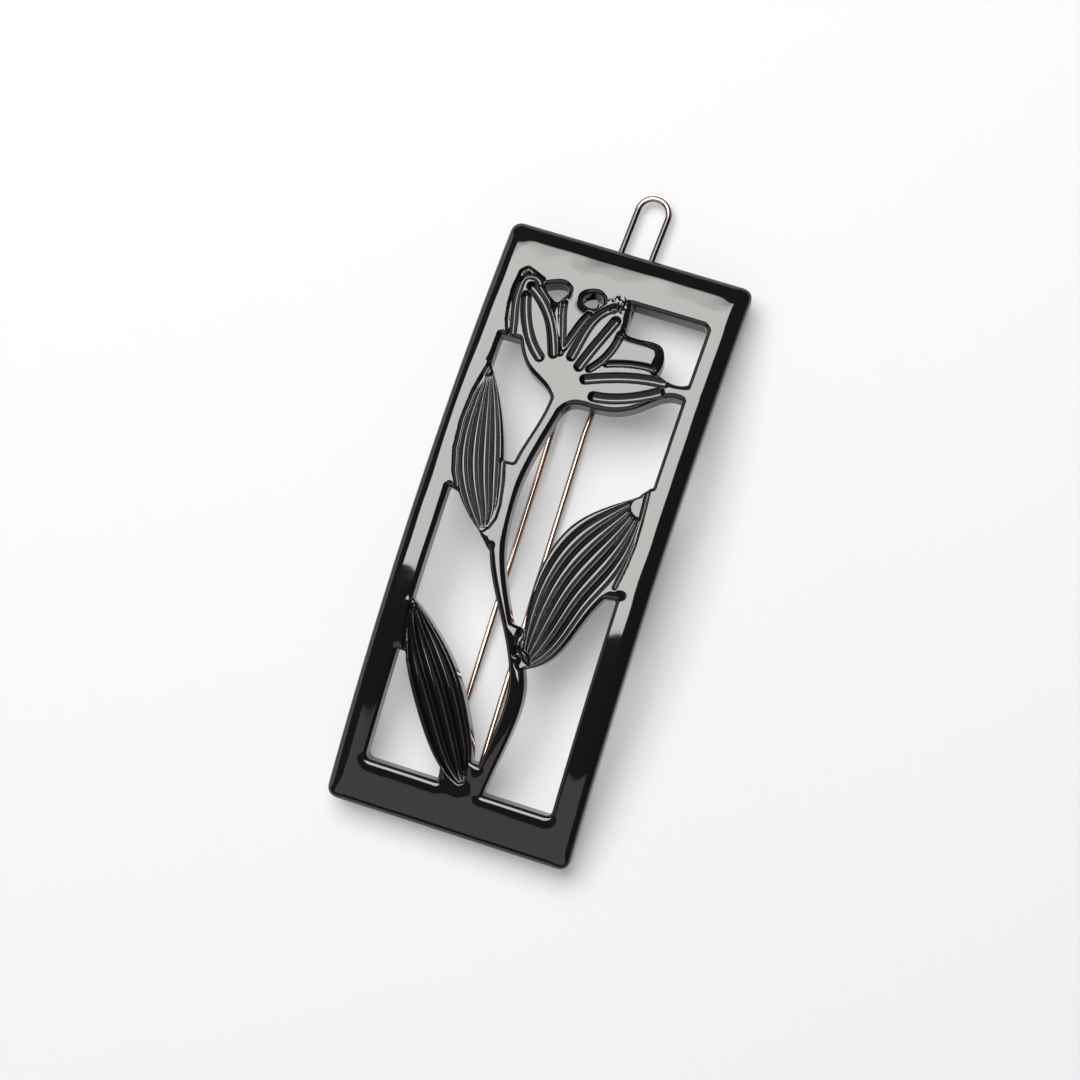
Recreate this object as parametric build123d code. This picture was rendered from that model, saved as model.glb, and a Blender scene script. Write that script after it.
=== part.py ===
"""Wire-clip barrette: an arched openwork tulip plate with a U-shaped spring-wire tongue behind it.

Millimetres. +Z is the decorative side, +Y runs along the plate towards the finger loop of the wire.
Every length below is measured from the centre of the plate; the finished pieces are then moved so
that the origin is the centre of the whole object's footprint, on the surface it lies on.
"""
import math
import os

from build123d import *

# Plate
PLATE_LENGTH = 80.0
PLATE_WIDTH = 33.6
PLATE_THICKNESS = 3.2
TOP_RADIUS = 150.0
END_CLEARANCE = 1.9
CORNER_RADIUS = 1.4
TOP_EDGE_RADIUS = 1.2

# Opening of the rectangular frame, before the flower is put in
OPENING_LEFT = -12.9
OPENING_RIGHT = 12.8
OPENING_BOTTOM = -33.8
OPENING_TOP = 33.2
OPENING_CORNER = 0.8

# Relief
RIB_DEPTH = 0.7
RIB_SHARE = 0.74
RIM_SHARE = 0.075
RIB_TIP_GAP = 0.15
RIB_BASE_GAP = 0.2
SLOT_DEPTH = 1.3

# Wire tongue
WIRE = 0.8
PIVOT_Y = -35.5
PIVOT_Z = 1.0
PIVOT_X = -1.0
BEND_X = -1.5
BEND_Y = 16.0
LOOP_TOP_X = 0.4
LOOP_TOP_Y = 48.75
PIVOT_HALF_GAP = 2.25
LOOP_HALF_GAP = 2.12
PIN_INNER_X = 0.5
PIN_BEND = 0.8
LEG_BEND = 30.0
CATCH_Z = 1.35

# Hinge bracket
STRIP = 0.5
EAR_INNER_X = 0.85
EAR_RADIUS = 1.0
STRIP_END_Y = -38.6
STRIP_INNER_Y = -33.9
PIN_CLEARANCE = 0.06

# Catch
CATCH_Y = 34.8
PAD_RADIUS = 3.0
STUD_NECK_RADIUS = 0.8
STUD_HEAD_RADIUS = 1.95
STUD_HEAD_HEIGHT = 0.85
STUD_TIP_RADIUS = 0.88
STUD_RIM_Z = 0.64
STUD_CHAMFER = 0.2
STUD_BLANK = 10.0

# Worked out from the values above
BACK_RADIUS = TOP_RADIUS - PLATE_THICKNESS
HALF_LENGTH = PLATE_LENGTH / 2
AXIS_Z = END_CLEARANCE - math.sqrt(BACK_RADIUS**2 - HALF_LENGTH**2)
EAR_OUTER_X = EAR_INNER_X + STRIP
WIRE_SLOPE = math.degrees(math.atan2(CATCH_Z - PIVOT_Z, CATCH_Y - PIVOT_Y))
LOOP_LEAN = (LOOP_TOP_X - BEND_X) / (LOOP_TOP_Y - BEND_Y)
CATCH_X = BEND_X + (CATCH_Y - BEND_Y) * LOOP_LEAN
FOOTPRINT_Y = (LOOP_TOP_Y + WIRE / 2 - HALF_LENGTH) / 2
TALL = 40.0

# Leaves: each is drawn as its two edges, both from the tip to the base
LEAF_1_OUTER = [(-13.0, 20.2), (-13.9, 12.6), (-13.4, 6.4), (-11.3, 2.4), (-8.9, -0.2), (-6.6, -1.9)]
LEAF_1_INNER = [(-13.0, 20.2), (-9.6, 14.7), (-7.3, 9.0), (-6.2, 4.5), (-5.8, 1.2), (-6.6, -1.9)]
LEAF_2_OUTER = [(12.2, 9.4), (8.7, 7.0), (4.6, 3.3), (2.3, -2.0), (2.0, -9.0), (3.6, -17.0)]
LEAF_2_INNER = [(12.2, 9.4), (13.0, 3.5), (12.3, -2.6), (10.1, -7.3), (7.1, -14.4), (3.6, -17.0)]
LEAF_3_OUTER = [(-13.0, -12.2), (-8.6, -15.4), (-4.0, -20.3), (-1.0, -25.4), (0.7, -29.9), (0.6, -33.6)]
LEAF_3_INNER = [(-13.0, -12.2), (-12.2, -18.2), (-9.3, -24.0), (-5.8, -29.1), (-2.9, -32.1), (0.6, -33.6)]
LEAVES = [
    (LEAF_1_OUTER, LEAF_1_INNER, 4),
    (LEAF_2_OUTER, LEAF_2_INNER, 5),
    (LEAF_3_OUTER, LEAF_3_INNER, 3),
]

# Stem, from the neck of the flower to the bottom bar
STEM_LEFT = [
    (-3.9, 18.6),
    (-4.4, 14.2),
    (-5.6, 9.2),
    (-5.9, 3.0),
    (-5.2, -3.2),
    (-2.7, -8.6),
    (1.1, -15.2),
    (2.5, -19.0),
    (2.6, -25.2),
    (1.3, -34.6),
]
STEM_RIGHT = [
    (-1.6, 18.6),
    (-2.6, 13.7),
    (-3.8, 7.2),
    (-3.9, 2.0),
    (-3.1, -3.2),
    (-0.9, -8.6),
    (1.7, -13.4),
    (4.5, -18.4),
    (4.8, -24.5),
    (3.3, -34.6),
]

# Webs: where a leaf runs into its neighbour, metal fills the narrow end of the gap between them
WEBS = [
    [(-8.6, -0.2), (-5.2, -3.6), (-5.0, 0.0), (-6.4, 1.0)],
    [(-7.1, 8.3), (-5.5, 8.4), (-5.5, 0.0), (-6.5, 0.0)],
    [(-13.5, 7.0), (-12.0, 4.5), (-11.4, 2.6), (-13.5, 3.1)],
    [(0.4, -11.6), (2.1, -11.8), (3.6, -16.0), (1.7, -13.8)],
    [(13.5, 10.4), (12.5, 10.4), (11.4, 8.9), (12.2, 2.0), (11.5, -3.0), (11.0, -5.2), (13.5, -4.8)],
    [(-13.5, -12.0), (-12.0, -13.0), (-11.5, -19.2), (-13.5, -19.2)],
    [(0.6, -30.2), (2.1, -30.3), (1.8, -34.4), (0.0, -34.4)],
    [(-3.0, -32.0), (-2.8, -34.4), (1.0, -34.4), (0.6, -33.0)],
]

# Tulip head: underside left and right of the neck, then the two petals that show behind
HEAD_LEFT = [(-3.6, 17.4), (-4.2, 18.4), (-7.7, 20.7), (-9.5, 22.7), (-10.3, 24.3)]
HEAD_RIGHT = [(13.4, 22.4), (11.1, 22.6), (7.5, 20.0), (2.3, 18.2), (-1.2, 17.7), (-1.9, 16.6)]
REAR_PETAL = [(2.6, 29.3), (5.7, 29.2), (7.8, 28.9), (8.6, 27.4), (8.3, 25.2)]
PETAL_3_TOP = [(8.3, 25.2), (9.2, 24.8), (11.3, 24.4), (13.4, 25.4)]
PETAL_2_SIDE = [(1.8, 33.9), (2.4, 31.4), (2.6, 29.3)]
TOP_MARGIN = 0.7
SMALL_HOLE_LEFT = [(-9.4, 32.6), (-8.5, 33.0), (-7.0, 33.2), (-6.4, 32.8), (-6.8, 31.4), (-7.6, 30.8)]
SMALL_HOLE_RIGHT = [(-4.3, 32.1), (-3.7, 33.0), (-1.8, 33.0), (-1.5, 32.2), (-2.5, 31.2), (-3.5, 31.2)]

# Petal grooves: centre line and width
GROOVES = [
    ([(-11.6, 24.9), (-12.5, 28.5), (-12.8, 31.0), (-12.4, 32.8), (-10.4, 32.3)], 0.7),
    ([(-11.5, 30.1), (-10.5, 27.3), (-9.1, 24.8), (-7.0, 22.6)], 0.9),
    ([(-11.2, 31.5), (-9.2, 30.0), (-7.4, 27.9), (-6.2, 25.6), (-5.4, 23.6)], 0.9),
    ([(-6.4, 30.6), (-5.7, 28.0), (-5.0, 25.9), (-4.6, 24.0)], 0.6),
    ([(-2.7, 30.0), (-3.5, 27.8), (-4.0, 26.0), (-4.4, 24.7)], 0.6),
    ([(0.3, 31.9), (-1.3, 30.5), (-2.3, 28.0), (-3.0, 23.9)], 0.85),
    ([(1.0, 30.2), (0.2, 28.0), (-0.7, 25.6), (-1.6, 22.9)], 0.9),
    ([(2.2, 28.6), (1.9, 26.6), (1.1, 24.7), (-0.2, 23.0)], 0.6),
    ([(-0.3, 21.5), (3.2, 22.8), (6.2, 23.6), (9.7, 24.0)], 0.9),
    ([(1.5, 19.6), (4.2, 20.1), (7.0, 21.2), (9.6, 22.7)], 0.9),
    ([(1.7, 24.3), (4.3, 25.1), (7.7, 25.5)], 0.5),
]


def spline_face(*runs):
    """A closed face from runs of points: each run is a spline and a run of two points a line."""
    edges = []
    for run in runs:
        edges.append(Spline(*run) if len(run) > 2 else Line(*run))
    return make_face(edges)


def rounded_hole(points):
    """A small hole with a smooth closed outline."""
    return make_face(Spline(*points, periodic=True))


def arch_shell(outer_radius, inner_radius):
    """The space between two arches about the plate's own axis, wider than the plate."""
    width = PLATE_WIDTH * 2
    outer = Cylinder(outer_radius, width, rotation=(0, 90, 0))
    inner = Cylinder(inner_radius, width + 2, rotation=(0, 90, 0))
    return Pos(0, 0, AXIS_Z) * (outer - inner)


def upright(face):
    """A tall prism that stands on the face and reaches through the plate."""
    return extrude(face, TALL)


def part_way(a, b, share):
    """The point that lies the given share of the way from a to b."""
    return (a[0] + (b[0] - a[0]) * share, a[1] + (b[1] - a[1]) * share)


def between(outer, inner, share):
    """The line that lies the given share of the way from one leaf edge to the other."""
    return [part_way(a, b, share) for a, b in zip(outer, inner)]


def rib_groove(outer, inner, share, half_share):
    """One groove between two ribs, narrowing to a point at the tip and at the base of the leaf."""
    side_a = between(outer, inner, share - half_share)
    side_b = between(outer, inner, share + half_share)
    for side in (side_a, side_b):
        side[0] = part_way(side[0], side[1], RIB_TIP_GAP)
        side[-1] = part_way(side[-1], side[-2], RIB_BASE_GAP)
    return spline_face(side_a, [side_a[-1], side_b[-1]], side_b, [side_b[0], side_a[0]])


def leaf_grooves(outer, inner, count):
    """The grooves of one leaf, evenly spread between the rims along its two edges."""
    pitch = (1 - 2 * RIM_SHARE) / count
    half_share = RIB_SHARE * pitch / 2
    faces = []
    for number in range(count):
        share = RIM_SHARE + (number + 0.5) * pitch
        faces.append(rib_groove(outer, inner, share, half_share))
    return faces


def groove_face(points, width):
    """A groove of constant width with round ends along a smooth centre line."""
    centre = Spline(*points)
    left = []
    right = []
    for step in range(len(points) * 2 - 1):
        share = step / (len(points) * 2 - 2)
        at = centre @ share
        along = centre % share
        across = Vector(-along.Y, along.X) * (width / 2)
        left.append(at + across)
        right.append(at - across)
    end = (centre @ 1) + (centre % 1) * (width / 2)
    start = (centre @ 0) - (centre % 0) * (width / 2)
    edges = [
        Spline(*left),
        ThreePointArc(left[-1], end, right[-1]),
        Spline(*right),
        ThreePointArc(right[0], start, left[0]),
    ]
    return make_face(edges)


def tulip_head():
    """The head with its petals, running up into the top bar on the left."""
    top = OPENING_TOP + TOP_MARGIN
    left = OPENING_LEFT - TOP_MARGIN
    frame_corner = (left, HEAD_LEFT[-1][1])
    return spline_face(
        HEAD_LEFT,
        [HEAD_LEFT[-1], frame_corner],
        [frame_corner, (left, top)],
        [(left, top), PETAL_2_SIDE[0]],
        PETAL_2_SIDE,
        REAR_PETAL,
        PETAL_3_TOP,
        [PETAL_3_TOP[-1], HEAD_RIGHT[0]],
        HEAD_RIGHT,
        [HEAD_RIGHT[-1], HEAD_LEFT[0]],
    )


def plate_outline():
    """The outline of the casting as seen from above: the frame with the flower in it."""
    outline = Rectangle(PLATE_WIDTH, PLATE_LENGTH)
    opening_size = (OPENING_RIGHT - OPENING_LEFT, OPENING_TOP - OPENING_BOTTOM)
    opening = RectangleRounded(*opening_size, OPENING_CORNER)
    middle = Pos((OPENING_RIGHT + OPENING_LEFT) / 2, (OPENING_TOP + OPENING_BOTTOM) / 2)
    outline -= middle * opening
    outline += tulip_head()
    foot = [STEM_LEFT[-1], STEM_RIGHT[-1]]
    neck = [STEM_RIGHT[0], STEM_LEFT[0]]
    outline += spline_face(STEM_LEFT, foot, STEM_RIGHT, neck)
    for corners in WEBS:
        outline += make_face(Polyline(*corners, close=True))
    for outer, inner, _ in LEAVES:
        outline += spline_face(outer, inner)
    outline -= rounded_hole(SMALL_HOLE_LEFT)
    outline -= rounded_hole(SMALL_HOLE_RIGHT)
    return outline


def relief(faces, depth):
    """What is cut from the top of the plate, to one depth below the arch."""
    prisms = [upright(face) for face in faces]
    skin = arch_shell(TOP_RADIUS + 1, TOP_RADIUS - depth)
    return [prism & skin for prism in prisms]


def plate():
    blank = arch_shell(TOP_RADIUS, BACK_RADIUS) & upright(Rectangle(PLATE_WIDTH, PLATE_LENGTH))
    blank = fillet(blank.edges().filter_by(Axis.Z), CORNER_RADIUS)
    crown = blank.faces().filter_by(GeomType.CYLINDER).sort_by(Axis.Z)[-1]
    blank = fillet(crown.outer_wire().edges(), TOP_EDGE_RADIUS)
    body = blank & upright(plate_outline())
    ribs = []
    for outer, inner, count in LEAVES:
        ribs += leaf_grooves(outer, inner, count)
    for cut in relief(ribs, RIB_DEPTH):
        body -= cut
    for cut in relief([groove_face(points, width) for points, width in GROOVES], SLOT_DEPTH):
        body -= cut
    return body


def bent_path(points, radii):
    """Straight runs between the points, with a tangent arc of the given radius at each inner point."""
    edges = []
    start = Vector(*points[0])
    for before, corner, after, radius in zip(points, points[1:], points[2:], radii):
        here = Vector(*corner)
        back = (Vector(*before) - here).normalized()
        ahead = (Vector(*after) - here).normalized()
        half_turn = back.get_angle(ahead) / 2
        reach = radius / math.tan(math.radians(half_turn))
        bisector = (back + ahead).normalized()
        centre = here + bisector * (radius / math.sin(math.radians(half_turn)))
        arc_start = here + back * reach
        arc_end = here + ahead * reach
        edges.append(Line(start, arc_start))
        edges.append(ThreePointArc(arc_start, centre - bisector * radius, arc_end))
        start = arc_end
    edges.append(Line(start, Vector(*points[-1])))
    return Wire(edges)


def wire_tongue():
    """One length of wire: a pin, a leg, the finger loop, the other leg and the other pin."""
    lean = math.atan(LOOP_LEAN)
    across = (LOOP_HALF_GAP * math.cos(lean), -LOOP_HALF_GAP * math.sin(lean))
    left_side = [
        (PIVOT_X - PIN_INNER_X, PIVOT_Y),
        (PIVOT_X - PIVOT_HALF_GAP, PIVOT_Y),
        (BEND_X - across[0], BEND_Y - across[1]),
        (LOOP_TOP_X - across[0], LOOP_TOP_Y - across[1]),
    ]
    right_side = [
        (LOOP_TOP_X + across[0], LOOP_TOP_Y + across[1]),
        (BEND_X + across[0], BEND_Y + across[1]),
        (PIVOT_X + PIVOT_HALF_GAP, PIVOT_Y),
        (PIVOT_X + PIN_INNER_X, PIVOT_Y),
    ]
    loop_bend = LOOP_HALF_GAP - 0.04
    radii = [PIN_BEND, LEG_BEND, loop_bend, loop_bend, LEG_BEND, PIN_BEND]
    path = bent_path(left_side + right_side, radii)
    section = Plane(path @ 0, z_dir=path % 0) * Circle(WIRE / 2)
    wire = sweep(section, path)
    wire = Pos(0, -PIVOT_Y, 0) * wire
    wire = Rot(WIRE_SLOPE, 0, 0) * wire
    return Pos(0, PIVOT_Y, PIVOT_Z) * wire


def hinge_bracket():
    """A folded strip: a base brazed behind the bottom bar and two ears that hold the pins."""
    base_length = STRIP_INNER_Y - STRIP_END_Y
    base_middle = (STRIP_INNER_Y + STRIP_END_Y) / 2
    base = upright(Pos(PIVOT_X, base_middle) * Rectangle(EAR_OUTER_X * 2, base_length))
    base &= arch_shell(BACK_RADIUS, BACK_RADIUS - STRIP)
    pivot_line = Pos(PIVOT_X, PIVOT_Y, PIVOT_Z)
    ear_block = Pos(0, 0, TALL / 2) * Box(EAR_OUTER_X * 2, EAR_RADIUS * 2, TALL)
    ears = pivot_line * (ear_block + Cylinder(EAR_RADIUS, EAR_OUTER_X * 2, rotation=(0, 90, 0)))
    ears &= arch_shell(BACK_RADIUS - STRIP, BACK_RADIUS - TALL)
    ears -= pivot_line * Box(EAR_INNER_X * 2, EAR_RADIUS * 3, TALL * 2)
    hole_radius = WIRE / 2 + PIN_CLEARANCE
    hole = pivot_line * Cylinder(hole_radius, EAR_OUTER_X * 3, rotation=(0, 90, 0))
    return base + ears - hole


def catch_pad():
    """A thin disc that follows the back of the top bar."""
    disc = Pos(CATCH_X, CATCH_Y) * Circle(PAD_RADIUS)
    return upright(disc) & arch_shell(BACK_RADIUS, BACK_RADIUS - STRIP)


def catch_stud():
    """A mushroom-headed stud: the legs of the wire snap over its head."""
    profile = make_face(
        [
            Line((0, 0), (STUD_TIP_RADIUS, 0)),
            TangentArc((STUD_TIP_RADIUS, 0), (STUD_HEAD_RADIUS, STUD_RIM_Z), tangent=(1, 0)),
            Line((STUD_HEAD_RADIUS, STUD_RIM_Z), (STUD_HEAD_RADIUS - STUD_CHAMFER, STUD_HEAD_HEIGHT)),
            Line((STUD_HEAD_RADIUS - STUD_CHAMFER, STUD_HEAD_HEIGHT), (STUD_NECK_RADIUS, STUD_HEAD_HEIGHT)),
            Line((STUD_NECK_RADIUS, STUD_HEAD_HEIGHT), (STUD_NECK_RADIUS, STUD_BLANK)),
            Line((STUD_NECK_RADIUS, STUD_BLANK), (0, STUD_BLANK)),
            Line((0, STUD_BLANK), (0, 0)),
        ]
    )
    upright_profile = Rot(90, 0, 0) * profile
    stud = Pos(CATCH_X, CATCH_Y, 0) * revolve(upright_profile, Axis.Z)
    return stud & arch_shell(BACK_RADIUS - STRIP, BACK_RADIUS - TALL)


PIECES = {
    "plate": plate,
    "hinge_bracket": hinge_bracket,
    "catch_pad": catch_pad,
    "catch_stud": catch_stud,
    "wire_tongue": wire_tongue,
}

os.makedirs("parts", exist_ok=True)
for name, build in PIECES.items():
    piece = Pos(0, -FOOTPRINT_Y, 0) * build()
    export_step(piece, f"parts/{name}.step")
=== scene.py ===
"""Wire-clip barrette: gloss black enamelled tulip plate, with its spring-wire tongue, on a white table.

The enamelled plate is built here as one smooth skin over the CAD plate. The CAD mesh is un-bent,
its outline and its grooves are read as flat distance fields, the rounded section is built from them,
and the finished skin is bent back. Lengths are millimetres up to there, and metres in the scene.
"""
import math

import bpy
import numpy as np
from mathutils import Matrix, Vector

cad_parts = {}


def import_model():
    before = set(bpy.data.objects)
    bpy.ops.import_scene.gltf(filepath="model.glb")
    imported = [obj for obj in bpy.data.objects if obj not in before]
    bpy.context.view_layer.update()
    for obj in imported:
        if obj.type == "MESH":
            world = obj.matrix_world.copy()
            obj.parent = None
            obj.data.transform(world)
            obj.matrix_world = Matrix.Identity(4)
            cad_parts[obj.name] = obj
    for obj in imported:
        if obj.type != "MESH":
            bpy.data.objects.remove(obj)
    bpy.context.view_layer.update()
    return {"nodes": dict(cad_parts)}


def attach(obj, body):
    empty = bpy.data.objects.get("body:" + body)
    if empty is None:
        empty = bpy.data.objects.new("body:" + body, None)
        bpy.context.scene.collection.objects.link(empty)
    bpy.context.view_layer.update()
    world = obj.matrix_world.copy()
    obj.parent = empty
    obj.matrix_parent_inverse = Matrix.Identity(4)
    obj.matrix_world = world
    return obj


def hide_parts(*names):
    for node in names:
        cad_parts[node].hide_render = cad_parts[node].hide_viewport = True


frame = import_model()

MM = 0.001

# Upward share of a face's normal, past which it belongs to the back or to the top and groove floors,
# and the distance from the plate's outline within which an edge of the back belongs to that outline
BACK_FACING = -0.6
TOP_FACING = 0.7
OUTLINE_BAND = 1.0

# Step of the flat fields, size of the skin's mesh cells, and how far the fields go past the plate
FIELD_STEP = 0.05
SKIN_STEP = 0.14
FIELD_REACH = 3.4

# Rounding of the top edge, as reach inwards and drop, and the plain round of the back edge
OUTER_ROUND = (2.8, 1.3)
WINDOW_ROUND = (0.55, 0.45)
BACK_ROUND = 0.35

# Round corner of the frame, and the width over which its two edges blend to make it
CORNER_RADIUS = 1.4
CORNER_BLEND = 4 * (1 - math.sqrt(0.5)) * CORNER_RADIUS

# Fall of the frame and the stem towards the windows: reach, drop, and the share of the full round
# at which the fall stops getting steeper
DOME_REACH = 2.2
DOME_DROP = 0.4
DOME_STEEPEST = 0.95

# Radii of the blurs
DOME_SOFTNESS = 0.18
OUTLINE_SOFTNESS = 0.12
RELIEF_SOFTNESS = 0.08
LEAF_SOFTNESS = 0.2
DISH_SOFTNESS = 0.8

# Grooves of the leaves and slots of the petals: the depths between which their floors lie in the CAD
# plate, how deep they are here, how far in from their edge that depth is reached, how much wider they
# are on each side than in the CAD plate, and how far outside them their distance is measured
RIB_FLOORS = (0.5, 0.95)
RIB_DEPTH = 0.7
RIB_REACH = 0.6
RIB_LIP = 0.06
SLOT_FLOORS = (1.05, 2.0)
SLOT_DEPTH = 0.85
SLOT_REACH = 0.45
SLOT_LIP = 0.14
SLOT_MARGIN = 0.8

# A leaf is the ground within this margin of its grooves; the width of its edge, and its dish
LEAF_MARGIN = 1.0
LEAF_EDGE = 0.4
LEAF_DISH = 0.32

# Settling the skin's vertices: rounds, least squared slope that a step is worked out from, and the
# longest step as a share of a mesh cell
SETTLE_ROUNDS = 4
LEAST_SLOPE = 0.15
LONGEST_STEP = 0.5

# Wavy surface of the coating: height, wavelength across and along the plate, and phase
WAVES = [
    (0.010, 11.0, 23.0, 0.4),
    (0.009, 17.0, -9.0, 1.9),
    (0.004, -6.1, 7.3, 4.0),
]

# Creases where a petal or a leaf lies against its neighbour: half width, depth and the line of the
# crease, measured from the centre of the plate
CREASES = [
    (
        0.30,
        0.45,
        [(-12.0, 24.6), (-12.7, 26.3), (-13.1, 28.3), (-13.3, 30.7)]
        + [(-13.1, 33.1), (-12.5, 33.7), (-11.3, 33.3), (-10.1, 32.8)],
    ),
    (0.70, 0.60, [(-7.5, 30.6), (-6.9, 28.9)]),
    (0.50, 0.60, [(-6.9, 28.9), (-6.2, 27.4), (-5.4, 26.0), (-4.6, 24.4)]),
    (0.28, 0.45, [(-12.9, 20.2), (-13.7, 15.7), (-13.9, 11.8), (-13.5, 7.9), (-12.7, 5.1), (-11.6, 2.9)]),
    (0.42, 0.50, [(-7.2, 8.0), (-6.5, 5.6), (-5.9, 2.5), (-5.9, 0.7), (-6.4, -0.6)]),
    (0.25, 0.45, [(12.4, 9.6), (12.7, 5.6), (12.8, 2.5), (12.5, -0.8), (12.1, -3.4)]),
    (0.30, 0.40, [(-12.8, -12.4), (-12.7, -15.4), (-12.2, -17.9), (-11.6, -19.7)]),
    (0.45, 0.50, [(2.2, -11.9), (2.1, -13.4), (2.4, -15.2)]),
    (0.90, 0.45, [(3.0, 29.2), (5.7, 29.2), (7.8, 28.8), (8.5, 27.4), (8.3, 25.6)]),
]

# Small bowl in the casting at the foot of the middle leaf: centre, radius and depth
BOWL_AT = (3.5, -16.2)
BOWL_RADIUS = 1.0
BOWL_DEPTH = 0.3

# Flat patches where the grooves end short of the tip of a leaf: centre and radius
CALM_SPOTS = [((12.2, 7.5), 1.5), ((-13.0, 19.0), 0.7), ((-12.6, -13.4), 0.6), ((3.0, -15.9), 1.3)]

# Rough patch beside the right small hole, left as cast: centre, radius, height of its lumps, and the
# turns of their waves in radians per millimetre across and along the plate
SCAR_AT = (0.4, 32.4)
SCAR_RADIUS = 1.5
SCAR_HEIGHT = 0.07
SCAR_WAVES = [(6.1, 2.3), (-3.1, 5.3), (7.7, 0.0)]

# Colour of the wire by its place along Y in millimetres: a warm plating tint, with painted reflection, the
# legs painted lighter and the finger loop painted dark
WIRE_TINT_AND_PAINTED_REFLECTION = [
    (33.8, (0.34, 0.245, 0.205)),
    (35.4, (0.05, 0.045, 0.046)),
    (42.0, (0.05, 0.045, 0.046)),
    (44.0, (0.33, 0.25, 0.22)),
]

# The soft light: height above the table, and the angles from straight above that it spans to the
# left and right and towards the hinge and the loop
SOFT_HEIGHT = 0.8
SOFT_ACROSS = (-40.0, 10.0)
SOFT_ALONG = (-3.6, 43.0)
SOFT_STRENGTH = 11.6
SOFT_COLOR = (1.0, 1.0, 0.965)

# The soft light's far edge: where its fade starts and ends past that edge, the share of the light
# that is left there, the streaks in it per metre, and how far they move the fade
FADE_FROM, FADE_TO = -0.02, 0.08
FADE_LEFT = 0.35
STREAK_SCALE = (1.8, 26.0, 1.0)
STREAK_SHIFT = 0.16

# The dim walls and the room: centre, half edges, strength and colour
FILL_CARD = ((0.1, -0.75, 0.75), (0.8, 0, 0), (0, 0.28, 0.45), 1.0, (1.0, 0.97, 1.0))
SIDE_CARD = ((-0.95, 0.0, 0.22), (0, 0.6, 0), (0, 0, 0.16), 1.5, (1.0, 0.88, 0.83))
ROOM_STRENGTH = 0.09
ROOM_COLOR = (0.9, 0.93, 1.0)

# The table: half its side, colour, and a little light of its own that keeps it white
TABLE_HALF = 3.0
TABLE_COLOR = (0.28, 0.28, 0.294)
TABLE_GLOW = 0.26

# The camera: degrees that it leans to the right and towards the loop from straight above, its turn
# about the view, its distance, the height of the point it looks at and how far that point lies from
# the middle of the arch, and its focal length as a share of the picture's width
CAMERA_LEAN_X = 9.333
CAMERA_LEAN_Y = -5.362
CAMERA_ROLL = 18.07
CAMERA_DISTANCE = 0.5
AIM_HEIGHT = 0.005
AIM_PAST_ARCH = 0.0001743
SENSOR_WIDTH = 36.0
FOCAL_SHARE = 3807.35 / 1080


# Reading the CAD plate ------------------------------------------------------------------------


def node_mesh(name):
    """Vertices in millimetres and triangles of a CAD node, with doubled vertices joined."""
    mesh = frame["nodes"][name].data
    mesh.calc_loop_triangles()
    points = np.empty(len(mesh.vertices) * 3)
    mesh.vertices.foreach_get("co", points)
    points = points.reshape(-1, 3) / MM
    triangles = np.empty(len(mesh.loop_triangles) * 3, dtype=int)
    mesh.loop_triangles.foreach_get("vertices", triangles)
    rounded = np.round(points, 4)
    unique, back = np.unique(rounded, axis=0, return_inverse=True)
    return unique, back.reshape(-1)[triangles].reshape(-1, 3)


def face_normals(points, triangles):
    """Unit normal of each triangle."""
    a, b, c = (points[triangles[:, i]] for i in range(3))
    normals = np.cross(b - a, c - a)
    return normals / np.maximum(np.linalg.norm(normals, axis=1), 1e-12)[:, None]


def fit_circle(y, z):
    """Centre and radius of the circle through a cloud of points in the YZ plane."""
    rows = np.stack([2 * y, 2 * z, np.ones_like(y)], axis=1)
    answer = np.linalg.lstsq(rows, y * y + z * z, rcond=None)[0]
    centre_y, centre_z = answer[:2]
    return centre_y, centre_z, math.sqrt(answer[2] + centre_y**2 + centre_z**2)


def rim(triangles):
    """The edges that only one of the triangles uses."""
    edges = np.concatenate([triangles[:, [0, 1]], triangles[:, [1, 2]], triangles[:, [2, 0]]])
    edges = np.sort(edges, axis=1)
    unique, count = np.unique(edges, axis=0, return_counts=True)
    return unique[count == 1]


plate_points, plate_triangles = node_mesh("plate")
plate_normals = face_normals(plate_points, plate_triangles)
back_faces = plate_triangles[plate_normals[:, 2] < BACK_FACING]
back_points = plate_points[np.unique(back_faces)]
ARCH_Y, ARCH_Z, BACK_RADIUS = fit_circle(back_points[:, 1], back_points[:, 2])
radii = np.hypot(plate_points[:, 1] - ARCH_Y, plate_points[:, 2] - ARCH_Z)
THICKNESS = radii.max() - BACK_RADIUS
MID_RADIUS = BACK_RADIUS + THICKNESS / 2


def flat(points):
    """Across the plate and along its middle surface, for points whose walls stand upright."""
    along = MID_RADIUS * np.arcsin((points[:, 1] - ARCH_Y) / MID_RADIUS)
    return np.stack([points[:, 0], along], axis=1)


def faces_at_depth(low, high):
    """Upward faces whose depth below the top of the arch lies between low and high."""
    depth = THICKNESS + BACK_RADIUS - radii[plate_triangles].mean(axis=1)
    facing_up = plate_normals[:, 2] > TOP_FACING
    return plate_triangles[facing_up & (depth > low) & (depth < high)]


# Flat fields ----------------------------------------------------------------------------------

low_corner = flat(plate_points).min(axis=0) - FIELD_REACH
high_corner = flat(plate_points).max(axis=0) + FIELD_REACH
FIELD_X = np.arange(low_corner[0], high_corner[0], FIELD_STEP)
FIELD_S = np.arange(low_corner[1], high_corner[1], FIELD_STEP)


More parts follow.
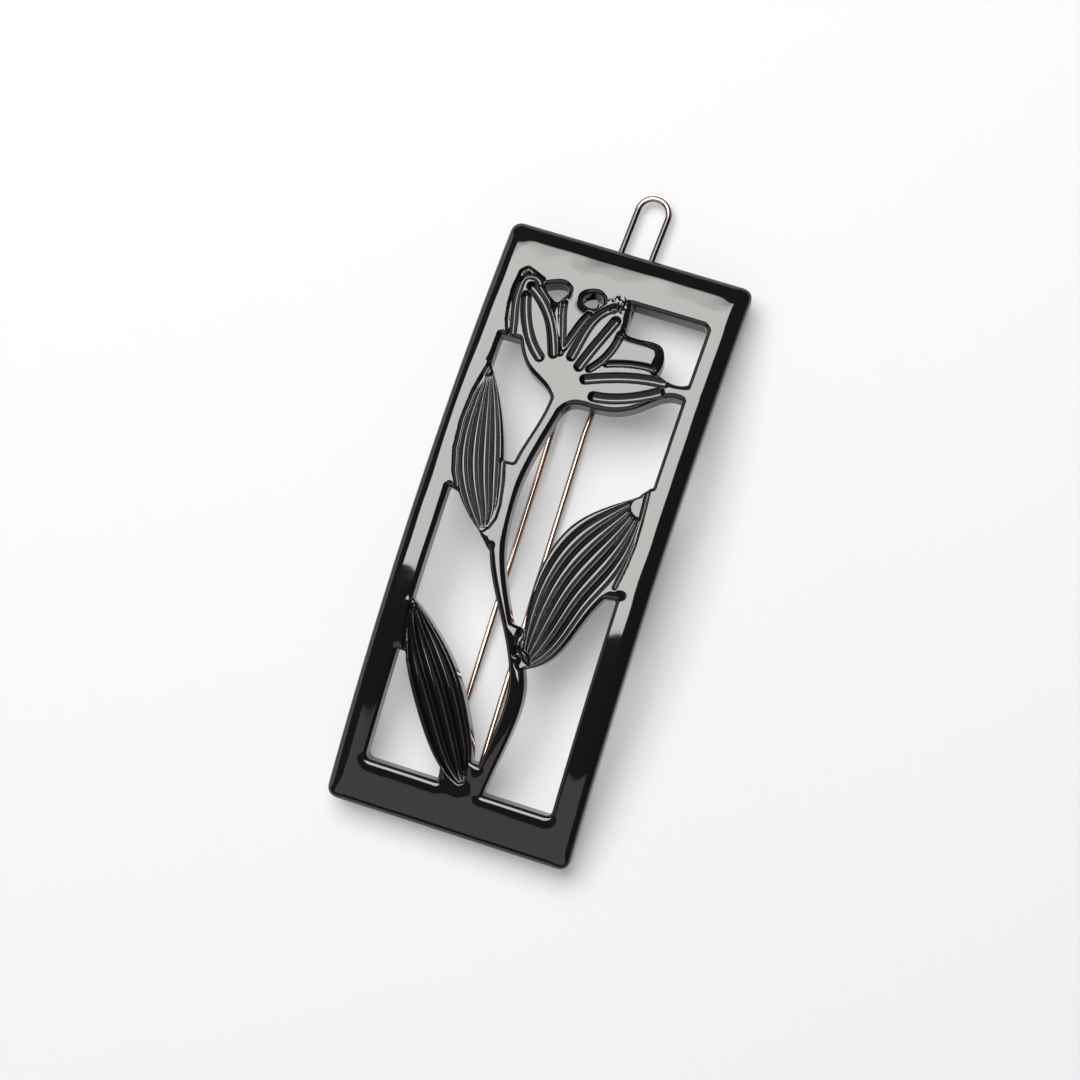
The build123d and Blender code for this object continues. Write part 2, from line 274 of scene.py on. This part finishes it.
def signed_distance(segments, reach):
    """Distance to the nearest segment, positive inside the closed outline, up to the given reach."""
    field = np.full((len(FIELD_X), len(FIELD_S)), reach)
    flips = np.zeros((len(FIELD_X) + 1, len(FIELD_S)), dtype=int)
    for (ax, ay), (bx, by) in segments:
        x0, x1 = np.searchsorted(FIELD_X, [min(ax, bx) - reach, max(ax, bx) + reach])
        y0, y1 = np.searchsorted(FIELD_S, [min(ay, by) - reach, max(ay, by) + reach])
        gx = FIELD_X[x0:x1, None] - ax
        gy = FIELD_S[None, y0:y1] - ay
        dx, dy = bx - ax, by - ay
        share = np.clip((gx * dx + gy * dy) / (dx * dx + dy * dy + 1e-12), 0, 1)
        distance = np.hypot(gx - share * dx, gy - share * dy)
        field[x0:x1, y0:y1] = np.minimum(field[x0:x1, y0:y1], distance)
        r0, r1 = np.searchsorted(FIELD_S, sorted((ay, by)))
        rows = np.arange(r0, r1)
        crossing = ax + (FIELD_S[rows] - ay) * dx / dy if r1 > r0 else rows
        np.add.at(flips, (np.searchsorted(FIELD_X, crossing), rows), 1)
    inside = np.cumsum(flips[:-1], axis=0) % 2 == 1
    return np.where(inside, field, -field)


def blur(field, softness):
    """Gaussian blur with the given radius in millimetres."""
    half = int(math.ceil(3 * softness / FIELD_STEP))
    weights = np.exp(-0.5 * (np.arange(-half, half + 1) * FIELD_STEP / softness) ** 2)
    weights /= weights.sum()
    for axis in (0, 1):
        padded = np.pad(field, [(half, half) if a == axis else (0, 0) for a in (0, 1)], mode="edge")
        total = 0
        for offset, weight in enumerate(weights):
            window = [slice(None), slice(None)]
            window[axis] = slice(offset, offset + field.shape[axis])
            total = total + weight * padded[tuple(window)]
        field = total
    return field


def sample(field, x, s):
    """Values of a flat field between its grid points."""
    u = np.clip((x - FIELD_X[0]) / FIELD_STEP, 0, len(FIELD_X) - 1.001)
    v = np.clip((s - FIELD_S[0]) / FIELD_STEP, 0, len(FIELD_S) - 1.001)
    i, j = u.astype(int), v.astype(int)
    fu, fv = u - i, v - j
    near = field[i, j] * (1 - fv) + field[i, j + 1] * fv
    far = field[i + 1, j] * (1 - fv) + field[i + 1, j + 1] * fv
    return near * (1 - fu) + far * fu


flat_plate = flat(plate_points)
grid_x, grid_s = np.meshgrid(FIELD_X, FIELD_S, indexing="ij")


def from_outer_edge(x, s):
    """Distance inwards from the plate's own outline, a rectangle with round corners."""
    middle = (flat_plate.min(axis=0) + flat_plate.max(axis=0)) / 2
    half = (flat_plate.max(axis=0) - flat_plate.min(axis=0)) / 2
    from_side = half[0] - np.abs(x - middle[0])
    from_end = half[1] - np.abs(s - middle[1])
    near_corner = np.maximum(CORNER_BLEND - np.abs(from_side - from_end), 0)
    return np.minimum(from_side, from_end) - near_corner**2 / (4 * CORNER_BLEND)


def window_field():
    """Distance from the windows, positive in the metal."""
    segments = flat_plate[rim(back_faces)]
    middles = segments.mean(axis=1)
    segments = segments[from_outer_edge(middles[:, 0], middles[:, 1]) > OUTLINE_BAND]
    return -signed_distance(segments, FIELD_REACH)


def groove_field(floors, reach):
    """Distance inwards from the edge of the grooves whose floors lie between two depths."""
    return signed_distance(flat_plate[rim(faces_at_depth(*floors))], reach)


window_distance = blur(window_field(), OUTLINE_SOFTNESS)
rib_distance = groove_field(RIB_FLOORS, LEAF_MARGIN)
slot_distance = groove_field(SLOT_FLOORS, SLOT_MARGIN)
leaf_share = blur(np.clip((rib_distance + LEAF_MARGIN) / LEAF_EDGE, 0, 1), LEAF_SOFTNESS)


def hollow(distance, reach):
    """Profile of a groove with a round bottom: 0 at its lip, 1 from the given reach inwards."""
    share = np.clip(distance / reach, 0, 1)
    return np.sqrt(1 - (1 - share) ** 2)


def along_arch(y):
    """Length along the middle surface, for a place measured straight from the plate's centre."""
    return MID_RADIUS * math.asin(y / MID_RADIUS)


def away_from(spot):
    """Distance of every field point from a spot measured from the plate's centre."""
    return np.hypot(grid_x - spot[0], grid_s - along_arch(spot[1]))


def crease_depth(half_width, depth, line):
    """Depth of one crease along its line, given from the centre of the plate."""
    points = np.array([(x, along_arch(y)) for x, y in line])
    segments = np.stack([points[:-1], points[1:]], axis=1)
    away = np.abs(signed_distance(segments, half_width))
    return depth * hollow(half_width - away, half_width)


def outside_calm_spots(distance):
    """A groove's distance field, with the groove ended at the edge of every calm spot."""
    for spot, radius in CALM_SPOTS:
        distance = np.minimum(distance, away_from(spot) - radius)
    return distance


def coating_waves():
    """Slow waves in the surface of the coating."""
    wave = np.zeros(grid_x.shape)
    for size, wave_x, wave_s, phase in WAVES:
        wave += size * np.sin(2 * math.pi * (grid_x / wave_x + grid_s / wave_s) + phase)
    return wave


def bar_dome():
    """How far the top falls towards the windows, outside the leaves."""
    toward_window = np.clip(1 - window_distance / DOME_REACH, 0, DOME_STEEPEST)
    dome = DOME_DROP * (1 - np.sqrt(1 - toward_window**2)) * (1 - leaf_share)
    return blur(dome, DOME_SOFTNESS)


def cut_depth():
    """Depth of the grooves, slots and creases, and of the small bowl."""
    ribs = outside_calm_spots(rib_distance)
    slots = outside_calm_spots(slot_distance)
    cut = RIB_DEPTH * hollow(ribs + RIB_LIP, RIB_REACH + RIB_LIP)
    cut = np.maximum(cut, SLOT_DEPTH * hollow(slots + SLOT_LIP, SLOT_REACH + SLOT_LIP))
    for crease in CREASES:
        cut = np.maximum(cut, crease_depth(*crease))
    from_bowl = away_from(BOWL_AT) / BOWL_RADIUS
    cut = np.maximum(cut, BOWL_DEPTH * np.clip(1 - from_bowl**2, 0, 1))
    return blur(cut, RELIEF_SOFTNESS)


def scar_height():
    """Uneven lumps of the patch that is left as cast."""
    first, second, third = (np.sin(a * grid_x + b * grid_s) for a, b in SCAR_WAVES)
    from_scar = away_from(SCAR_AT) / SCAR_RADIUS
    return SCAR_HEIGHT * (first * second + third) * np.clip(1 - from_scar**2, 0, 1)


def relief_height():
    """Height of the top of the skin above its back."""
    dish = LEAF_DISH * blur(leaf_share, DISH_SOFTNESS)
    return THICKNESS + coating_waves() + scar_height() - dish - bar_dome() - cut_depth()


top_height = relief_height()


# The skin -------------------------------------------------------------------------------------


def rounded_edge(wall, cap, radius):
    """Depth inside the corner of a wall and a cap that meet in a round edge."""
    short = np.hypot(np.maximum(radius - wall, 0), np.maximum(radius - cap, 0))
    return radius - short


def skin_depth(x, s, n):
    """Depth inside the plate, positive inside, for flat coordinates and height above the back."""
    outer = from_outer_edge(x, s)
    window = sample(window_distance, x, s)
    top = sample(top_height, x, s) - n
    depth = rounded_edge(np.minimum(outer, window), n, BACK_ROUND)
    for wall, (reach, drop) in ((outer, OUTER_ROUND), (window, WINDOW_ROUND)):
        depth = np.minimum(depth, rounded_edge(wall * drop / reach, top, drop))
    return depth


def skin_gradient(x, s, n, step=0.03):
    """Change of the skin's depth per millimetre across, along and up."""
    return np.stack(
        [
            skin_depth(x + step, s, n) - skin_depth(x - step, s, n),
            skin_depth(x, s + step, n) - skin_depth(x, s - step, n),
            skin_depth(x, s, n + step) - skin_depth(x, s, n - step),
        ],
        axis=1,
    ) / (2 * step)


def crossed_edges(depth, axis):
    """Grid edges along one axis that the surface crosses: start, crossing, and if it starts inside."""
    low, high = [slice(None)] * 3, [slice(None)] * 3
    low[axis] = slice(0, -1)
    high[axis] = slice(1, None)
    here, there = depth[tuple(low)], depth[tuple(high)]
    index = np.argwhere((here > 0) != (there > 0))
    start, end = here[tuple(index.T)], there[tuple(index.T)]
    point = index.astype(float)
    point[:, axis] += start / (start - end)
    return index, point, start > 0


def cells_beside(index, first, second, steps):
    """Grid cells that share a grid edge, found by steps back along the two other axes."""
    shift = np.eye(3, dtype=int)
    return [index - a * shift[first] - b * shift[second] for a, b in steps]


def cell_vertices(crossings, cells):
    """The mean crossing of every cell that the surface passes through, and each such cell's number."""
    total = np.zeros(cells + (3,))
    count = np.zeros(cells)
    for axis, (index, point, _) in enumerate(crossings):
        first, second = (k for k in range(3) if k != axis)
        for cell in cells_beside(index, first, second, [(0, 0), (0, 1), (1, 0), (1, 1)]):
            fits = ((cell >= 0) & (cell < np.array(cells))).all(axis=1)
            at = tuple(cell[fits].T)
            np.add.at(total, at, point[fits])
            np.add.at(count, at, 1)
    used = count > 0
    number = np.full(cells, -1)
    number[used] = np.arange(used.sum())
    return total[used] / count[used][:, None], number


def quads_round(number, axis, index, starts_inside):
    """One quad round each crossed edge, turned so that it faces out of the metal."""
    ring = cells_beside(index, (axis + 1) % 3, (axis + 2) % 3, [(0, 0), (1, 0), (1, 1), (0, 1)])
    quads = np.stack([number[tuple(cell.T)] for cell in ring], axis=1)
    quads[~starts_inside] = quads[~starts_inside][:, ::-1]
    return quads


def skin_net():
    """Vertices and quads of the skin: one vertex in each grid cell that the surface crosses."""
    xs = np.arange(FIELD_X[0] + 1, FIELD_X[-1] - 1, SKIN_STEP)
    ss = np.arange(FIELD_S[0] + 1, FIELD_S[-1] - 1, SKIN_STEP)
    ns = np.arange(-1.5 * SKIN_STEP, THICKNESS + 3 * SKIN_STEP, SKIN_STEP)
    across, along = np.meshgrid(xs, ss, indexing="ij")
    depth = np.stack([skin_depth(across, along, n) for n in ns], axis=2)
    crossings = [crossed_edges(depth, axis) for axis in range(3)]
    local, number = cell_vertices(crossings, tuple(n - 1 for n in depth.shape))
    quads = [quads_round(number, axis, index, inside) for axis, (index, _, inside) in enumerate(crossings)]
    vertices = np.array([xs[0], ss[0], ns[0]]) + local * SKIN_STEP
    return vertices, np.concatenate(quads)


def settle(vertices):
    """Moves each vertex onto the surface and returns the outward normals there."""
    for _ in range(SETTLE_ROUNDS):
        depth = skin_depth(*vertices.T)
        gradient = skin_gradient(*vertices.T)
        steep = np.maximum((gradient**2).sum(axis=1), LEAST_SLOPE)
        move = gradient * (depth / steep)[:, None]
        length = np.maximum(np.linalg.norm(move, axis=1), 1e-9)
        vertices = vertices - move * np.minimum(1, LONGEST_STEP * SKIN_STEP / length)[:, None]
    gradient = skin_gradient(*vertices.T)
    normals = -gradient / np.maximum(np.linalg.norm(gradient, axis=1), 1e-9)[:, None]
    return vertices, normals


def bend(flat_points, normals):
    """Back from the flat plate to the arch, in metres."""
    angle = flat_points[:, 1] / MID_RADIUS
    radius = BACK_RADIUS + flat_points[:, 2]
    sine, cosine = np.sin(angle), np.cos(angle)
    points = np.stack([flat_points[:, 0], ARCH_Y + radius * sine, ARCH_Z + radius * cosine], axis=1)
    across, along, up = normals.T
    turned = np.stack([across, along * cosine + up * sine, up * cosine - along * sine], axis=1)
    return points * MM, turned


def build_skin():
    """The finished skin as one smooth object, bent back to the arch."""
    vertices, quads = skin_net()
    vertices, normals = settle(vertices)
    points, normals = bend(vertices, normals)
    mesh = bpy.data.meshes.new("enamelled_plate")
    mesh.vertices.add(len(points))
    mesh.vertices.foreach_set("co", points.astype(np.float32).ravel())
    mesh.loops.add(quads.size)
    mesh.loops.foreach_set("vertex_index", quads.astype(np.int32).ravel())
    mesh.polygons.add(len(quads))
    mesh.polygons.foreach_set("loop_start", np.arange(0, quads.size, 4, dtype=np.int32))
    mesh.update(calc_edges=True)
    mesh.validate()
    mesh.shade_smooth()
    mesh.normals_split_custom_set_from_vertices(normals.astype(np.float32))
    skin = bpy.data.objects.new("enamelled_plate", mesh)
    bpy.context.scene.collection.objects.link(skin)
    return skin


# Materials ------------------------------------------------------------------------------------


def new_material(name, color, roughness, metallic=0.0, ior=1.5):
    """A material with one Principled shader, and that shader."""
    material = bpy.data.materials.new(name)
    material.use_nodes = True
    shader = material.node_tree.nodes["Principled BSDF"]
    shader.inputs["Base Color"].default_value = (*color, 1)
    shader.inputs["Roughness"].default_value = roughness
    shader.inputs["Metallic"].default_value = metallic
    shader.inputs["IOR"].default_value = ior
    return material, shader


def noise(material, scale, detail):
    """Noise over the object's own place, with the scale in features per metre."""
    tree = material.node_tree
    place = tree.nodes.new("ShaderNodeTexCoord")
    texture = tree.nodes.new("ShaderNodeTexNoise")
    texture.inputs["Scale"].default_value = scale
    texture.inputs["Detail"].default_value = detail
    texture.inputs["Roughness"].default_value = 0.5
    tree.links.new(place.outputs["Object"], texture.inputs["Vector"])
    return texture.outputs["Fac"]


def ranged(material, value, low, high, from_low=0.3, from_high=0.7):
    """A value moved from one range to another and kept inside it. Most noise lies in 0.3 to 0.7."""
    tree = material.node_tree
    ramp = tree.nodes.new("ShaderNodeMapRange")
    ramp.inputs["From Min"].default_value = from_low
    ramp.inputs["From Max"].default_value = from_high
    ramp.inputs["To Min"].default_value = low
    ramp.inputs["To Max"].default_value = high
    tree.links.new(value, ramp.inputs["Value"])
    return ramp.outputs["Result"]


def bump(material, shader, value, depth):
    """Bumps of the given depth in metres."""
    tree = material.node_tree
    node = tree.nodes.new("ShaderNodeBump")
    node.inputs["Strength"].default_value = 1.0
    node.inputs["Distance"].default_value = depth
    tree.links.new(value, node.inputs["Height"])
    tree.links.new(node.outputs["Normal"], shader.inputs["Normal"])


def enamel():
    """Fired black enamel: deep gloss with a faint orange peel."""
    material, shader = new_material("black_enamel", (0.0026, 0.0022, 0.0026), 0.04, ior=1.52)
    peel = noise(material, 650, 2.0)
    bump(material, shader, peel, 0.0000035)
    smears = noise(material, 220, 4.0)
    material.node_tree.links.new(ranged(material, smears, 0.03, 0.075), shader.inputs["Roughness"])
    return material


def dark_steel():
    """Oxidised strip steel of the clip hardware."""
    material, shader = new_material("dark_steel", (0.16, 0.15, 0.145), 0.35, metallic=1.0)
    grain = noise(material, 2600, 5.0)
    bump(material, shader, grain, 0.000004)
    tarnish = noise(material, 700, 4.0)
    material.node_tree.links.new(ranged(material, tarnish, 0.26, 0.5), shader.inputs["Roughness"])
    return material


def wire_steel():
    """Drawn spring wire with a thin warm plating, and painted reflection along it: the legs painted
    lighter and the finger loop painted dark.
    """
    material, shader = new_material("wire_steel", WIRE_TINT_AND_PAINTED_REFLECTION[0][1], 0.2, metallic=1.0)
    tree = material.node_tree
    place = tree.nodes.new("ShaderNodeTexCoord")
    split = tree.nodes.new("ShaderNodeSeparateXYZ")
    # Painted reflection: this ramp paints the legs lighter and the finger loop dark, by place along Y,
    # over the warm plating tint.
    tint_and_painted_reflection = tree.nodes.new("ShaderNodeValToRGB")
    stops = tint_and_painted_reflection.color_ramp.elements
    while len(stops) < len(WIRE_TINT_AND_PAINTED_REFLECTION):
        stops.new(0.5)
    first, last = WIRE_TINT_AND_PAINTED_REFLECTION[0][0], WIRE_TINT_AND_PAINTED_REFLECTION[-1][0]
    for stop, (y, color) in zip(stops, WIRE_TINT_AND_PAINTED_REFLECTION):
        stop.position = (y - first) / (last - first)
        stop.color = (*color, 1)
    tree.links.new(place.outputs["Object"], split.inputs["Vector"])
    along = ranged(material, split.outputs["Y"], 0.0, 1.0, first * MM, last * MM)
    tree.links.new(along, tint_and_painted_reflection.inputs["Fac"])
    tree.links.new(tint_and_painted_reflection.outputs["Color"], shader.inputs["Base Color"])
    draw = noise(material, 1800, 3.0)
    bump(material, shader, draw, 0.0000015)
    wear = noise(material, 900, 4.0)
    material.node_tree.links.new(ranged(material, wear, 0.14, 0.26), shader.inputs["Roughness"])
    return material


def dress(obj, material):
    """Gives an object one material."""
    obj.data.materials.clear()
    obj.data.materials.append(material)


# The object -----------------------------------------------------------------------------------

skin = build_skin()
dress(skin, enamel())
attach(skin, "body")
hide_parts("plate")

steel = dark_steel()
for name in ("hinge_bracket", "catch_pad", "catch_stud"):
    dress(frame["nodes"][name], steel)
dress(frame["nodes"]["wire_tongue"], wire_steel())


# Table, light and camera ----------------------------------------------------------------------


def emitter(name, centre, across, along, strength, color):
    """A flat glowing card: centre in metres, with its two half-edge vectors."""
    centre, across, along = Vector(centre), Vector(across), Vector(along)
    near = [centre - across - along, centre + across - along]
    far = [centre + across + along, centre - across + along]
    mesh = bpy.data.meshes.new(name)
    mesh.from_pydata(near + far, [], [(0, 1, 2, 3)])
    card = bpy.data.objects.new(name, mesh)
    bpy.context.scene.collection.objects.link(card)
    material = bpy.data.materials.new(name)
    material.use_nodes = True
    tree = material.node_tree
    tree.nodes.clear()
    glow = tree.nodes.new("ShaderNodeEmission")
    glow.inputs["Color"].default_value = (*color, 1)
    glow.inputs["Strength"].default_value = strength
    out = tree.nodes.new("ShaderNodeOutputMaterial")
    tree.links.new(glow.outputs["Emission"], out.inputs["Surface"])
    mesh.materials.append(material)
    card.visible_camera = False
    return card


def table():
    """The pale table that the barrette lies on."""
    mesh = bpy.data.meshes.new("table")
    signs = [(-1, -1), (1, -1), (1, 1), (-1, 1)]
    mesh.from_pydata([(a * TABLE_HALF, b * TABLE_HALF, 0) for a, b in signs], [], [(0, 1, 2, 3)])
    top = bpy.data.objects.new("table", mesh)
    bpy.context.scene.collection.objects.link(top)
    material, shader = new_material("table", TABLE_COLOR, 0.7)
    shader.inputs["Emission Color"].default_value = (1, 1, 1, 1)
    shader.inputs["Emission Strength"].default_value = TABLE_GLOW
    mesh.materials.append(material)


def fade_in_streaks(card, far):
    """Dims a card about its far edge, unevenly, as through a creased cloth."""
    material = card.data.materials[0]
    tree = material.node_tree
    glow = tree.nodes["Emission"]
    place = tree.nodes.new("ShaderNodeTexCoord")
    stretch = tree.nodes.new("ShaderNodeMapping")
    stretch.inputs["Scale"].default_value = STREAK_SCALE
    streaks = tree.nodes.new("ShaderNodeTexNoise")
    streaks.inputs["Scale"].default_value = 1.0
    streaks.inputs["Detail"].default_value = 5.0
    split = tree.nodes.new("ShaderNodeSeparateXYZ")
    shifted = tree.nodes.new("ShaderNodeMath")
    shifted.operation = "MULTIPLY_ADD"
    shifted.inputs[1].default_value = STREAK_SHIFT
    tree.links.new(place.outputs["Object"], stretch.inputs["Vector"])
    tree.links.new(stretch.outputs["Vector"], streaks.inputs["Vector"])
    tree.links.new(place.outputs["Object"], split.inputs["Vector"])
    tree.links.new(streaks.outputs["Fac"], shifted.inputs[0])
    tree.links.new(split.outputs["Y"], shifted.inputs[2])
    full = glow.inputs["Strength"].default_value
    past = shifted.outputs["Value"]
    strength = ranged(material, past, full, FADE_LEFT * full, far + FADE_FROM, far + FADE_TO)
    tree.links.new(strength, glow.inputs["Strength"])


def soft_box():
    """The large soft light overhead: it reaches from the loop end and the left to past the middle."""
    left, right = (SOFT_HEIGHT * math.tan(math.radians(angle)) for angle in SOFT_ACROSS)
    near, far = (SOFT_HEIGHT * math.tan(math.radians(angle)) for angle in SOFT_ALONG)
    centre = ((left + right) / 2, (near + far) / 2, SOFT_HEIGHT)
    across = ((right - left) / 2, 0, 0)
    along = (0, (far - near) / 2, 0)
    card = emitter("soft_box", centre, across, along, SOFT_STRENGTH, SOFT_COLOR)
    fade_in_streaks(card, far)


def world():
    """A dim room, and plain display of the light without a film curve."""
    scene = bpy.context.scene
    scene.view_settings.view_transform = "Standard"
    scene.world = bpy.data.worlds.new("room")
    scene.world.use_nodes = True
    background = scene.world.node_tree.nodes["Background"]
    background.inputs["Color"].default_value = (*ROOM_COLOR, 1)
    background.inputs["Strength"].default_value = ROOM_STRENGTH


def camera():
    """Almost straight above, leaning to the right and to the hinge side, and turned about the view."""
    lean_x, lean_y = math.radians(CAMERA_LEAN_X), math.radians(CAMERA_LEAN_Y)
    roll = math.radians(CAMERA_ROLL)
    level = math.cos(lean_y)
    back = Vector((math.sin(lean_x) * level, math.sin(lean_y), math.cos(lean_x) * level))
    right = Vector((0, 1, 0)).cross(back).normalized()
    up = back.cross(right)
    turned_right = right * math.cos(roll) + up * math.sin(roll)
    turned_up = up * math.cos(roll) - right * math.sin(roll)
    aim = Vector((0.0, ARCH_Y * MM + AIM_PAST_ARCH, AIM_HEIGHT))
    data = bpy.data.cameras.new("camera")
    data.sensor_width = SENSOR_WIDTH
    data.lens = SENSOR_WIDTH * FOCAL_SHARE
    eye = bpy.data.objects.new("camera", data)
    place = Matrix((turned_right, turned_up, back)).transposed().to_4x4()
    place.translation = aim + back * CAMERA_DISTANCE
    eye.matrix_world = place
    bpy.context.scene.collection.objects.link(eye)
    bpy.context.scene.camera = eye


table()
soft_box()
emitter("fill_card", *FILL_CARD)
emitter("side_card", *SIDE_CARD)
world()
camera()
